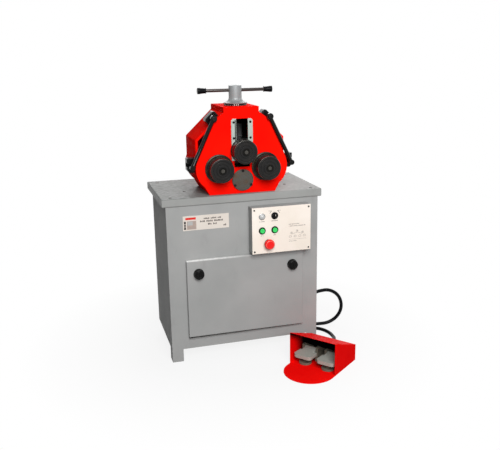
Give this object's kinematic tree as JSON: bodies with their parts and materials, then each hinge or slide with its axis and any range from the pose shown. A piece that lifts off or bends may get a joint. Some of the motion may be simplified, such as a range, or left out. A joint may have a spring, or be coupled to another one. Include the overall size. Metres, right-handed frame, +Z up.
{
  "type": "three-roll ring roller",
  "caption": "Electric ring roller with a screw-fed top roll over driven rolls, on a sheet-metal cabinet with control panel and guarded foot switch.",
  "frame": {"origin": "on the floor, under the centre of the bounding box of machine and foot switch, cable left out", "axes": "+Z up, +X to the operator's right, +Y from the front of the cabinet to its back"},
  "size_m": [0.8112, 0.7252, 1.0688],
  "materials": {
    "grey_paint": "smooth semi-gloss grey enamel",
    "red_paint": "glossy red enamel",
    "black_paint": "satin black enamel",
    "black_steel": "blued, turned steel",
    "bright_steel": "turned bright steel",
    "ground_steel": "ground steel",
    "plain_steel": "plain machined steel",
    "zinc_steel": "zinc-plated steel",
    "cream_panel": "cream lacquered sheet",
    "plate_print": "printed aluminium plate",
    "black_plastic": "moulded matt black plastic",
    "green_plastic": "glossy green plastic",
    "red_plastic": "glossy red plastic",
    "lamp_lens": "clear moulded lens",
    "pedal_alloy": "cast aluminium alloy",
    "rubber": "black rubber sheath"
  },
  "bodies": {
    "stand": {"arm_screws": "black_steel", "back_panel": "grey_paint", "cabinet_body": "grey_paint", "cable_gland": "black_plastic", "control_bezels": "black_plastic", "control_box": "grey_paint", "control_faceplate": "cream_panel", "door_hinge_rod": "plain_steel", "drive_chain": "plain_steel", "drive_cover": "bright_steel", "foot_cable": "rubber", "gearmotor": "black_paint", "gib_left": "ground_steel", "gib_right": "ground_steel", "head_front_plate": "red_paint", "head_housing": "red_paint", "head_screws": "black_steel", "left_bearing_flange": "black_steel", "left_lower_block": "black_paint", "left_upper_block": "black_paint", "nameplate": "plate_print", "panel_screws": "zinc_steel", "pedal_body": "pedal_alloy", "pedal_guard": "red_paint", "pedal_pins": "plain_steel", "pilot_lamp": "lamp_lens", "right_bearing_flange": "black_steel", "right_lower_block": "black_paint", "right_upper_block": "black_paint", "scale_ring": "black_paint", "table_screws": "zinc_steel", "table_top": "grey_paint"},
    "door": {"door_panel": "grey_paint"},
    "left_knob": {"door_knob_left": "black_plastic"},
    "right_knob": {"door_knob_right": "black_plastic"},
    "selector": {"selector_knob": "black_plastic"},
    "forward": {"forward_button": "green_plastic"},
    "reverse": {"reverse_button": "green_plastic"},
    "emergency": {"emergency_head": "red_plastic"},
    "motor_output": {"motor_sprocket": "plain_steel"},
    "drive": {"drive_shaft": "plain_steel", "shaft_sprocket": "plain_steel"},
    "left_lower": {"left_shaft": "black_steel", "left_roll": "black_steel", "left_gear": "plain_steel"},
    "right_lower": {"right_shaft": "black_steel", "right_roll": "black_steel", "right_gear": "plain_steel"},
    "slide_block": {"carriage": "black_steel"},
    "upper": {"top_shaft": "black_steel", "top_roll": "black_steel"},
    "screw": {"adjusting_screw": "plain_steel", "screw_hub": "bright_steel"},
    "bar": {"tommy_bar": "bright_steel", "bar_grip_left": "black_plastic", "bar_grip_right": "black_plastic"},
    "left_swing": {"left_arm": "black_steel"},
    "right_swing": {"right_arm": "black_steel"},
    "left_tread": {"left_pedal": "pedal_alloy"},
    "right_tread": {"right_pedal": "pedal_alloy"}
  },
  "joints": [
    {"name": "door_tilt", "type": "hinge", "parent": "stand", "child": "door", "pos_m": [-0.03616, -0.03285, 0.11], "axis": [1, 0, 0], "range_deg": [0, 70]},
    {"name": "door_knob_left_turn", "type": "hinge", "parent": "door", "child": "left_knob", "pos_m": [-0.22716, -0.04035, 0.365], "axis": [0, 1, 0], "range_deg": [0, 90]},
    {"name": "door_knob_right_turn", "type": "hinge", "parent": "door", "child": "right_knob", "pos_m": [0.15484, -0.04035, 0.365], "axis": [0, 1, 0], "range_deg": [-90, 0]},
    {"name": "selector_turn", "type": "hinge", "parent": "stand", "child": "selector", "pos_m": [0.07184, -0.07435, 0.579], "axis": [0, 1, 0], "range_deg": [-45, 45]},
    {"name": "forward_press", "type": "slide", "parent": "stand", "child": "forward", "axis": [0, 1, 0], "range_m": [0, 0.004], "stiffness_N_per_m": 800},
    {"name": "reverse_press", "type": "slide", "parent": "stand", "child": "reverse", "axis": [0, 1, 0], "range_m": [0, 0.004], "stiffness_N_per_m": 800},
    {"name": "emergency_press", "type": "slide", "parent": "stand", "child": "emergency", "axis": [0, 1, 0], "range_m": [0, 0.005], "stiffness_N_per_m": 1500},
    {"name": "drive_spin", "type": "hinge", "parent": "stand", "child": "drive", "pos_m": [-0.03616, 0.16665, 0.71563], "axis": [0, 1, 0], "continuous": true},
    {"name": "motor_output_spin", "type": "hinge", "parent": "stand", "child": "motor_output", "pos_m": [-0.03616, 0.16665, 0.52003], "axis": [0, 1, 0], "continuous": true},
    {"name": "left_roll_spin", "type": "hinge", "parent": "stand", "child": "left_lower", "pos_m": [-0.12766, 0.16665, 0.764], "axis": [0, 1, 0], "continuous": true},
    {"name": "right_roll_spin", "type": "hinge", "parent": "stand", "child": "right_lower", "pos_m": [0.05534, 0.16665, 0.764], "axis": [0, 1, 0], "continuous": true},
    {"name": "screw_turn", "type": "hinge", "parent": "stand", "child": "screw", "pos_m": [-0.03616, 0.07465, 1.051], "axis": [0, 0, 1], "range_deg": [-3240, 1080]},
    {"name": "carriage_slide", "type": "slide", "parent": "stand", "child": "slide_block", "axis": [0, 0, 1], "range_m": [-0.01501, 0.04501]},
    {"name": "top_roll_spin", "type": "hinge", "parent": "slide_block", "child": "upper", "pos_m": [-0.03616, 0.16665, 0.8295], "axis": [0, 1, 0], "continuous": true},
    {"name": "bar_slide", "type": "slide", "parent": "screw", "child": "bar", "axis": [1, 0, 0], "range_m": [-0.09, 0.09]},
    {"name": "left_arm_swing", "type": "hinge", "parent": "stand", "child": "left_swing", "pos_m": [-0.14559, -0.01965, 0.95382], "axis": [0, 1, 0], "range_deg": [0, 50]},
    {"name": "right_arm_swing", "type": "hinge", "parent": "stand", "child": "right_swing", "pos_m": [0.07327, -0.01965, 0.95382], "axis": [0, 1, 0], "range_deg": [-50, 0]},
    {"name": "left_pedal_press", "type": "hinge", "parent": "stand", "child": "left_tread", "pos_m": [0.19214, -0.16235, 0.046], "axis": [0.6252, -0.7804, 0], "range_deg": [0, 8], "stiffness_Nm_per_rad": 20, "springref_deg": -2.86},
    {"name": "right_pedal_press", "type": "hinge", "parent": "stand", "child": "right_tread", "pos_m": [0.25466, -0.2404, 0.046], "axis": [0.6252, -0.7804, 0], "range_deg": [0, 8], "stiffness_Nm_per_rad": 20, "springref_deg": -2.86}
  ],
  "couplings": [
    {"joint": "left_roll_spin", "follows": "drive_spin", "ratio": -0.56818},
    {"joint": "right_roll_spin", "follows": "drive_spin", "ratio": -0.56818},
    {"joint": "motor_output_spin", "follows": "drive_spin", "ratio": 1.3077},
    {"joint": "carriage_slide", "follows": "screw_turn", "m_per_rad": -0.00079577}
  ]
}
